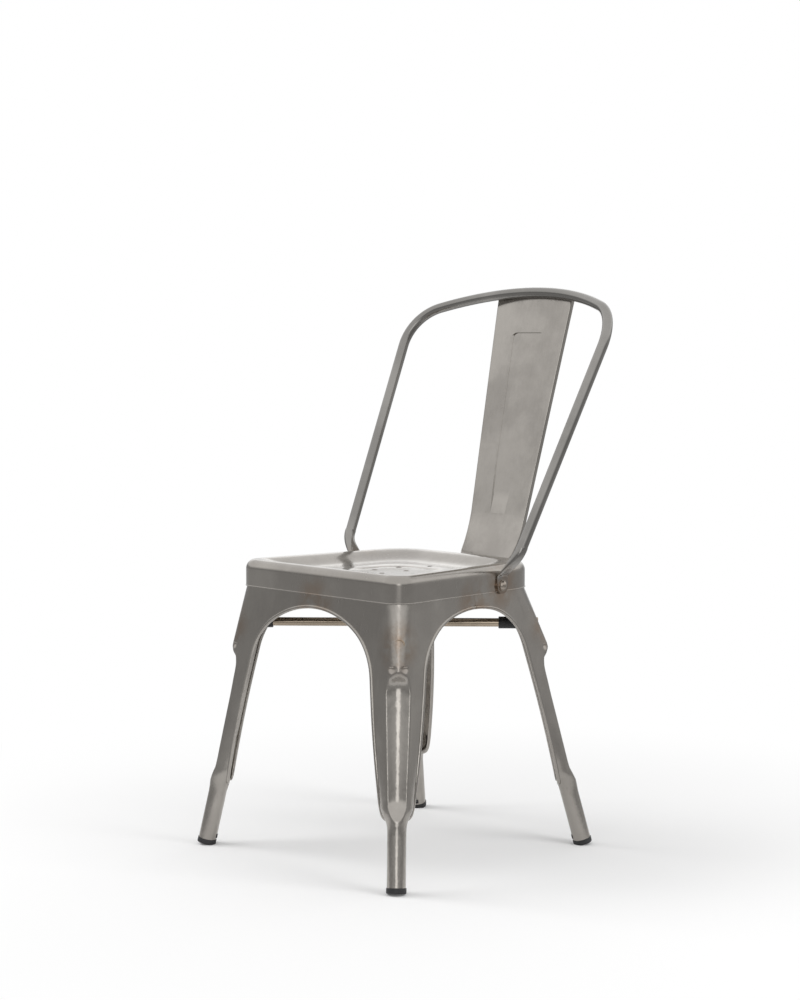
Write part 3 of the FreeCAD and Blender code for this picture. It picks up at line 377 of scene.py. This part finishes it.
def black_plastic():
    """Black moulded plastic, made once: a fine spark-eroded grain and lighter, worn patches."""
    name = "black_moulded_plastic"
    made = bpy.data.materials.get(name)
    if made:
        return made
    colour = bpy.context.scene.chair_finish.plastic_colour
    worn = [part * WORN_GAIN + WORN_LIFT for part in colour]
    material, shader, coordinates = node_material(name)
    tree = material.node_tree
    patches = noise(tree, coordinates, *MOULD_PATCHES)
    tone = blend_colours(tree, between(tree, patches, PLASTIC_TONES), opaque(colour), opaque(worn))
    tree.links.new(tone, shader.inputs["Base Color"])
    tree.links.new(between(tree, patches, PLASTIC_GLOSS, PLASTIC_ROUGHNESS),
                   shader.inputs["Roughness"])
    roughen(tree, shader, noise(tree, coordinates, *MOULD_GRAIN), *PLASTIC_RELIEF)
    return material


def leg_line(top, foot, z):
    """The sharp outer corner of a leg at a height."""
    share = (LEG_TOP_HEIGHT - z) / LEG_TOP_HEIGHT
    return (top[0] + (foot[0] - top[0]) * share, top[1] + (foot[1] - top[1]) * share, z)


def leg_joints():
    """Where the brace and the hoop's bolts meet the legs."""
    places = []
    for side in (1.0, -1.0):
        for top, foot in ((FRONT_LEG_TOP, FRONT_LEG_FOOT), (REAR_LEG_TOP, REAR_LEG_FOOT)):
            x, y, z = leg_line(top, foot, BRACE_HEIGHT)
            places.append(drawn(side * x, y, z))
        places.append(drawn(side * BOLT[0], BOLT[1], BOLT[2]))
    return places


def apron_welds():
    """Where the legs' aprons meet over the four arches."""
    x, y = SIDE_APRON_WELD
    middles = ((x, y), (-x, y), (0.0, FRONT_APRON_WELD_Y), (0.0, REAR_APRON_WELD_Y))
    return [drawn(x, y, APRON_WELD_HEIGHT) for x, y in middles]


def sheet_steel():
    """Pressed sheet of the seat, the legs and the splat."""
    finish = bpy.context.scene.chair_finish
    return steel("raw_steel_sheet", finish.sheet_colour, finish.sheet_dark,
                 finish.sheet_roughness, leg_joints() + apron_welds(), SHEET_HEAT_REACH)


def tube_steel():
    """Drawn tube of the hoop."""
    finish = bpy.context.scene.chair_finish
    shade = [part * TUBE_SHADE for part in finish.tube_colour]
    return steel("drawn_steel_tube", finish.tube_colour, shade,
                 finish.sheet_roughness - TUBE_SMOOTHER, leg_joints(), TUBE_HEAT_REACH)


def brace_steel():
    """Straw tinted tube of the brace, and its welds."""
    finish = bpy.context.scene.chair_finish
    return steel("straw_tinted_steel", finish.brace_colour, finish.brace_dark,
                 BRACE_ROUGHNESS, leg_joints() + apron_welds(), BRACE_HEAT_REACH)


def hardware_steel():
    """Bolts, washers, nuts and rivets."""
    finish = bpy.context.scene.chair_finish
    return steel("bright_hardware_steel", finish.hardware_colour, finish.hardware_dark,
                 HARDWARE_ROUGHNESS)


def dressed_copy(node, material, slot, crease):
    """Put a merged, smoothly shaded copy in the place of a CAD node, crisp at its creases."""
    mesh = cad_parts[node].data.copy()
    mesh.name = node + "_finish"
    form = bmesh.new()
    form.from_mesh(mesh)
    bmesh.ops.remove_doubles(form, verts=form.verts, dist=MERGE_DISTANCE)
    form.to_mesh(mesh)
    form.free()
    stored = mesh.attributes.get("custom_normal")
    if stored is not None:
        mesh.attributes.remove(stored)
    mesh.materials.clear()
    mesh.materials.append(material)
    mesh.shade_smooth()
    mesh.set_sharp_from_angle(angle=crease)
    piece = added(node + "_finish", mesh)
    if slot != "tube":         # a round tube has no flat faces to lead its shading
        weighted = piece.modifiers.new("Even normals", "WEIGHTED_NORMAL")
        weighted.keep_sharp = True
        weighted.weight = NORMAL_WEIGHT
    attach(piece, "root")
    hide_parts(node)


def dress(nodes, material, slot, crease):
    """Finish several CAD nodes alike."""
    for node in nodes:
        dressed_copy(node, material, slot, crease)


def plain_piece(name, holder):
    """Put the plain mesh that a curve or a modifier makes in its place, riding on the chair."""
    graph = bpy.context.evaluated_depsgraph_get()
    mesh = bpy.data.meshes.new_from_object(holder.evaluated_get(graph))
    bpy.data.objects.remove(holder)
    mesh.name = name
    mesh.shade_smooth()
    piece = added(name, mesh)
    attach(piece, "root")


def grown(name, points, tree):
    """Make the piece that a geometry node tree grows on points."""
    seeds = bpy.data.meshes.new(name + "_points")
    seeds.from_pydata(points, [], [])
    holder = added(name + "_points", seeds)
    modifier = holder.modifiers.new("Repeat", "NODES")
    modifier.node_group = tree
    plain_piece(name, holder)


def new_tree(name, lengths):
    """A geometry node tree with named lengths as inputs, and its first and last nodes."""
    tree = bpy.data.node_groups.new(name, "GeometryNodeTree")
    tree.interface.new_socket("Geometry", in_out="INPUT", socket_type="NodeSocketGeometry")
    tree.interface.new_socket("Geometry", in_out="OUTPUT", socket_type="NodeSocketGeometry")
    for label, length in lengths.items():
        socket = tree.interface.new_socket(label, in_out="INPUT", socket_type="NodeSocketFloat")
        socket.subtype = "DISTANCE"
        socket.default_value = length
    return tree, tree.nodes.new("NodeGroupInput"), tree.nodes.new("NodeGroupOutput")


def repeat_shape(tree, points, shape, material, end):
    """Put the shape on every point, make the copies real and give them their material."""
    instance = tree.nodes.new("GeometryNodeInstanceOnPoints")
    tree.links.new(points, instance.inputs["Points"])
    tree.links.new(shape, instance.inputs["Instance"])
    real = tree.nodes.new("GeometryNodeRealizeInstances")
    tree.links.new(instance.outputs["Instances"], real.inputs["Geometry"])
    finish = tree.nodes.new("GeometryNodeSetMaterial")
    finish.inputs["Material"].default_value = material
    tree.links.new(real.outputs["Geometry"], finish.inputs["Geometry"])
    tree.links.new(finish.outputs["Geometry"], end.inputs["Geometry"])


def circle(tree, radius, steps):
    """A closed ring whose radius is a socket."""
    ring = tree.nodes.new("GeometryNodeCurvePrimitiveCircle")
    ring.inputs["Resolution"].default_value = steps
    tree.links.new(radius, ring.inputs["Radius"])
    return ring.outputs["Curve"]


def drain_rim_tree(material):
    """A thin rolled rim on every point."""
    tree, start, end = new_tree("drain_rims", {"Hole radius": DRAIN_RADIUS,
                                               "Rim radius": DRAIN_RIM_RADIUS})
    swept = tree.nodes.new("GeometryNodeCurveToMesh")
    tree.links.new(circle(tree, start.outputs["Hole radius"], DRAIN_STEPS), swept.inputs["Curve"])
    tree.links.new(circle(tree, start.outputs["Rim radius"], DRAIN_RIM_STEPS),
                   swept.inputs["Profile Curve"])
    repeat_shape(tree, start.outputs["Geometry"], swept.outputs["Mesh"], material, end)
    return tree


def weld_tree(material, ripple):
    """A small round ripple of weld on every point."""
    tree, start, end = new_tree("weld_ripples", {"Ripple radius": ripple})
    drop = tree.nodes.new("GeometryNodeMeshIcoSphere")
    drop.inputs["Subdivisions"].default_value = RIPPLE_SUBDIVISIONS
    tree.links.new(start.outputs["Ripple radius"], drop.inputs["Radius"])
    repeat_shape(tree, start.outputs["Geometry"], drop.outputs["Mesh"], material, end)
    return tree


def drain_points():
    """Middles of the seven holes, on the flat of the dish."""
    x, y, z = drawn(DRAIN_CENTRE[0], DRAIN_CENTRE[1], DISH_HEIGHT)
    points = [(x, y, z)]
    for i in range(6):
        turn = math.radians(60 * i + 30)
        points.append((x + DRAIN_PITCH * math.cos(turn), y + DRAIN_PITCH * math.sin(turn), z))
    return points


def brace_weld_points(pitch):
    """Rings of points round both ends of each diagonal of the brace, close to the legs."""
    low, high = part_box("brace_tube")
    count = int(2 * math.pi * BRACE_RADIUS / pitch)
    points = []
    for side in (1.0, -1.0):
        for x, y, step in ((low.x * side, low.y, 1.0), (high.x * side, high.y, -1.0)):
            run = Vector(((high.x - low.x) * side, high.y - low.y, 0.0)).normalized() * step
            middle = Vector((x, y, BRACE_HEIGHT)) + run * BRACE_RADIUS
            across = Vector((-run.y, run.x, 0.0))
            for i in range(count):
                turn = 2 * math.pi * i / count
                points.append(middle + across * (BRACE_RADIUS * math.cos(turn))
                              + Vector((0, 0, BRACE_RADIUS * math.sin(turn))))
    return points


def skirt_corners():
    """Corners of the skirt's outline with their radii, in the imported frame."""
    front_x, front_y, _ = drawn(*SKIRT_FRONT_CORNER, 0.0)
    rear_x, rear_y, _ = drawn(*SKIRT_REAR_CORNER, 0.0)
    return [(front_x, front_y, SKIRT_FRONT_RADIUS), (rear_x, rear_y, SKIRT_REAR_RADIUS),
            (-rear_x, rear_y, SKIRT_REAR_RADIUS), (-front_x, front_y, SKIRT_FRONT_RADIUS)]


def skirt_outline():
    """Points round the skirt, with its corners rounded."""
    corners = skirt_corners()
    points = []
    for i, (x, y, radius) in enumerate(corners):
        here = Vector((x, y))
        before = (Vector(corners[i - 1][:2]) - here).normalized()
        after = (Vector(corners[(i + 1) % 4][:2]) - here).normalized()
        half = before.angle(after) / 2
        centre = here + (before + after).normalized() * (radius / math.sin(half))
        first = here + before * (radius / math.tan(half)) - centre
        turn = first.angle_signed(here + after * (radius / math.tan(half)) - centre)
        for k in range(SKIRT_CORNER_STEPS + 1):
            spoke = first.copy()
            spoke.rotate(Matrix.Rotation(-turn * k / SKIRT_CORNER_STEPS, 2))
            points.append(centre + spoke)
    return points


def seen_directly(tree):
    """1 for camera, glossy and transmission rays, which see the floor as plain backdrop."""
    path = tree.nodes.new("ShaderNodeLightPath")
    straight = maths(tree, "MAXIMUM", path.outputs["Is Camera Ray"], path.outputs["Is Glossy Ray"])
    return maths(tree, "MAXIMUM", straight, path.outputs["Is Transmission Ray"])


def floor_glow(tree):
    """White light for the far floor, calmer where the metal mirrors it."""
    calmer = tree.nodes.new("ShaderNodeMath")
    calmer.operation = "MULTIPLY_ADD"
    calmer.inputs[1].default_value = FLOOR_IN_METAL - 1.0
    calmer.inputs[2].default_value = 1.0
    path = tree.nodes.new("ShaderNodeLightPath")
    tree.links.new(path.outputs["Is Glossy Ray"], calmer.inputs[0])
    glow = tree.nodes.new("ShaderNodeEmission")
    glow.inputs["Color"].default_value = WHITE
    tree.links.new(calmer.outputs["Value"], glow.inputs["Strength"])
    return glow.outputs["Emission"]


def make_floor(radius):
    """A round floor whose pale tone melts into the white backdrop."""
    mesh = bpy.data.meshes.new("studio_floor")
    form = bmesh.new()
    bmesh.ops.create_circle(form, cap_ends=True, radius=FLOOR_REACH, segments=FLOOR_SIDES)
    form.to_mesh(mesh)
    form.free()
    material = bpy.data.materials.new("studio_floor")
    material.use_nodes = True
    tree = material.node_tree
    tree.nodes.clear()
    output = tree.nodes.new("ShaderNodeOutputMaterial")
    matte = tree.nodes.new("ShaderNodeBsdfDiffuse")
    matte.inputs["Color"].default_value = FLOOR_TONE
    mix = tree.nodes.new("ShaderNodeMixShader")
    coordinates = tree.nodes.new("ShaderNodeTexCoord").outputs["Object"]
    away = between(tree, measured(tree, "LENGTH", coordinates),
                   (radius * FLOOR_FADE_START, radius))
    tree.links.new(maths(tree, "MULTIPLY", away, seen_directly(tree)), mix.inputs["Fac"])
    tree.links.new(matte.outputs["BSDF"], mix.inputs[1])
    tree.links.new(floor_glow(tree), mix.inputs[2])
    tree.links.new(mix.outputs["Shader"], output.inputs["Surface"])
    mesh.materials.append(material)
    added("studio_floor", mesh)


def plain_background(tree, strength):
    """White light from all round, of one strength or of a graded one."""
    node = tree.nodes.new("ShaderNodeBackground")
    node.inputs["Color"].default_value = WHITE
    feed(tree, strength, node.inputs["Strength"])
    return node.outputs["Background"]


def wall_brightness(tree):
    """How bright the metal sees the room: shade, a bright ceiling and three bright walls."""
    direction = tree.nodes.new("ShaderNodeTexCoord").outputs["Generated"]
    total = WALL_SHADE
    for towards, low, high, gain in WALLS:
        facing = measured(tree, "DOT_PRODUCT", direction, Vector(towards).normalized())
        total = maths(tree, "ADD", between(tree, facing, (low, high), (0.0, gain)), total)
    return total


def make_world(strength):
    """Even room light, a white backdrop, and graded walls that only the metal sees."""
    world = bpy.data.worlds.new("studio")
    bpy.context.scene.world = world
    world.use_nodes = True
    tree = world.node_tree
    tree.nodes.clear()
    output = tree.nodes.new("ShaderNodeOutputWorld")
    path = tree.nodes.new("ShaderNodeLightPath")
    white = plain_background(tree, 1.0)
    walls = plain_background(tree, wall_brightness(tree))
    surface = plain_background(tree, strength)
    for rays, seen in (("Is Glossy Ray", walls), ("Is Transmission Ray", white),
                       ("Is Camera Ray", white)):
        mix = tree.nodes.new("ShaderNodeMixShader")
        tree.links.new(path.outputs[rays], mix.inputs["Fac"])
        tree.links.new(surface, mix.inputs[1])
        tree.links.new(seen, mix.inputs[2])
        surface = mix.outputs["Shader"]
    tree.links.new(surface, output.inputs["Surface"])


def soft_light(name, power):
    """A large light aimed at a point of the chair, which the metal doesn't mirror."""
    place, target, (width, height) = LAMPS[name]
    light = bpy.data.lights.new(name, "AREA")
    light.shape = "RECTANGLE"
    light.size, light.size_y = width, height
    light.energy = power
    lamp = added(name, light)
    lamp.location = place
    lamp.rotation_euler = (Vector(target) - Vector(place)).to_track_quat("-Z", "Y").to_euler()
    lamp.visible_glossy = False


def make_camera():
    """The photograph's viewpoint."""
    turn, rise = math.radians(CAMERA_AZIMUTH), math.radians(CAMERA_ELEVATION)
    back = Vector((math.sin(turn) * math.cos(rise), -math.cos(turn) * math.cos(rise),
                   math.sin(rise)))
    right = Vector((math.cos(turn), math.sin(turn), 0.0))
    up = back.cross(right)
    middle = Vector((0.0, SHIFT_Y, CAMERA_HEIGHT))
    place = right * CAMERA_ASIDE + middle + back * CAMERA_DISTANCE
    data = bpy.data.cameras.new("photo_camera")
    data.sensor_width = SENSOR
    data.lens = SENSOR * CAMERA_FOCAL / IMAGE_HEIGHT
    camera = added("photo_camera", data)
    turned = Matrix((right, up, back)).transposed().to_4x4()
    camera.matrix_world = Matrix.Translation(place) @ turned
    bpy.context.scene.camera = camera


class CHAIR_OT_studio(bpy.types.Operator):
    """Set the floor, backdrop, lights and camera"""

    bl_idname = "chair.studio"
    bl_label = "Studio"

    def execute(self, context):
        studio = context.scene.chair_studio
        make_floor(studio.floor_radius)
        make_world(studio.world_strength)
        soft_light("key_light", studio.key_power)
        soft_light("fill_light", studio.fill_power)
        make_camera()
        context.scene.view_settings.view_transform = "Standard"
        return {"FINISHED"}


class CHAIR_OT_seat(bpy.types.Operator):
    """Finish the pressed seat pan"""

    bl_idname = "chair.seat"
    bl_label = "Seat pan"

    def execute(self, context):
        dress(["seat_pan"], sheet_steel(), "steel", context.scene.chair_finish.crease_angle)
        return {"FINISHED"}


class CHAIR_OT_rims(bpy.types.Operator):
    """Roll a thin rim round every drain hole"""

    bl_idname = "chair.rims"
    bl_label = "Drain hole rims"

    def execute(self, context):
        grown("drain_hole_rims", drain_points(), drain_rim_tree(sheet_steel()))
        return {"FINISHED"}


class CHAIR_OT_lip(bpy.types.Operator):
    """Turn the small bright lip along the skirt's lower edge"""

    bl_idname = "chair.lip"
    bl_label = "Skirt lip"

    def execute(self, context):
        line = bpy.data.curves.new("skirt_lip", "CURVE")
        line.dimensions = "3D"
        line.bevel_depth = LIP_RADIUS
        line.bevel_resolution = LIP_RESOLUTION
        line.materials.append(sheet_steel())
        path = line.splines.new("POLY")
        outline = skirt_outline()
        path.points.add(len(outline) - 1)
        for place, point in zip(path.points, outline):
            place.co = (point.x, point.y, SKIRT_BOTTOM, 1.0)
        path.use_cyclic_u = True
        plain_piece("skirt_lip", added("skirt_lip_line", line))
        return {"FINISHED"}


class CHAIR_OT_legs(bpy.types.Operator):
    """Finish the four pressed legs"""

    bl_idname = "chair.legs"
    bl_label = "Legs"

    def execute(self, context):
        crease = context.scene.chair_finish.crease_angle
        dress(at_corners("leg"), sheet_steel(), "steel", crease)
        return {"FINISHED"}


class CHAIR_OT_back(bpy.types.Operator):
    """Finish the tube hoop and the splat"""

    bl_idname = "chair.back"
    bl_label = "Back"

    def execute(self, context):
        finish = context.scene.chair_finish
        dress(["back_hoop"], tube_steel(), "tube", finish.tube_crease_angle)
        dress(["back_splat"], sheet_steel(), "steel", finish.splat_crease_angle)
        return {"FINISHED"}


class CHAIR_OT_brace(bpy.types.Operator):
    """Finish the crossed brace under the seat and its four sleeves"""

    bl_idname = "chair.brace"
    bl_label = "Brace"

    def execute(self, context):
        finish = context.scene.chair_finish
        dress(["brace_tube", "brace_half_front", "brace_half_rear"], brace_steel(), "tube",
              finish.tube_crease_angle)
        dress(at_corners("brace_sleeve"), black_plastic(), "plastic", finish.crease_angle)
        return {"FINISHED"}


class CHAIR_OT_welds(bpy.types.Operator):
    """Lay the weld beads round the ends of the brace"""

    bl_idname = "chair.welds"
    bl_label = "Brace welds"

    def execute(self, context):
        welds = context.scene.chair_welds
        grown("brace_welds", brace_weld_points(welds.ripple_pitch),
              weld_tree(brace_steel(), welds.ripple_size))
        return {"FINISHED"}


class CHAIR_OT_feet(bpy.types.Operator):
    """Finish the four moulded feet"""

    bl_idname = "chair.feet"
    bl_label = "Feet"

    def execute(self, context):
        crease = context.scene.chair_finish.crease_angle
        dress(at_corners("foot_cap"), black_plastic(), "plastic", crease)
        return {"FINISHED"}


class CHAIR_OT_fasteners(bpy.types.Operator):
    """Finish bolts, washers, nuts and rivets"""

    bl_idname = "chair.fasteners"
    bl_label = "Fasteners"

    def execute(self, context):
        kinds = ("hoop_bolt", "hoop_washer", "hoop_nut", "splat_rivet")
        nodes = ["%s_%s" % (kind, side) for kind in kinds for side in ("left", "right")]
        dress(nodes, hardware_steel(), "hardware", context.scene.chair_finish.crease_angle)
        return {"FINISHED"}


class CHAIR_PT_panel(bpy.types.Panel):
    """Lists the steps of the finish and what can be changed in it"""

    bl_label = "Chair"
    bl_space_type = "VIEW_3D"
    bl_region_type = "UI"
    bl_category = "Chair"

    def draw(self, context):
        for step in STEPS:
            self.layout.operator(step.bl_idname)
        for name in GROUPS:
            group = getattr(context.scene, name)
            for prop in group.__annotations__:
                self.layout.prop(group, prop)


STEPS = (CHAIR_OT_studio, CHAIR_OT_seat, CHAIR_OT_rims, CHAIR_OT_lip, CHAIR_OT_legs, CHAIR_OT_back,
         CHAIR_OT_brace, CHAIR_OT_welds, CHAIR_OT_feet, CHAIR_OT_fasteners)
GROUPS = {"chair_finish": ChairFinish, "chair_welds": ChairWelds, "chair_studio": ChairStudio}


def register():
    for name, group in GROUPS.items():
        bpy.utils.register_class(group)
        setattr(bpy.types.Scene, name, bpy.props.PointerProperty(type=group))
    for step in STEPS:
        bpy.utils.register_class(step)
    bpy.utils.register_class(CHAIR_PT_panel)


def unregister():
    bpy.utils.unregister_class(CHAIR_PT_panel)
    for step in reversed(STEPS):
        bpy.utils.unregister_class(step)
    for name, group in GROUPS.items():
        delattr(bpy.types.Scene, name)
        bpy.utils.unregister_class(group)


def main():
    """Dress the chair step by step."""
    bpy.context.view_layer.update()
    register()
    bpy.ops.chair.studio()
    bpy.ops.chair.seat()
    bpy.ops.chair.rims()
    bpy.ops.chair.lip()
    bpy.ops.chair.legs()
    bpy.ops.chair.back()
    bpy.ops.chair.brace()
    bpy.ops.chair.welds()
    bpy.ops.chair.feet()
    bpy.ops.chair.fasteners()


if __name__ == "__main__":
    main()
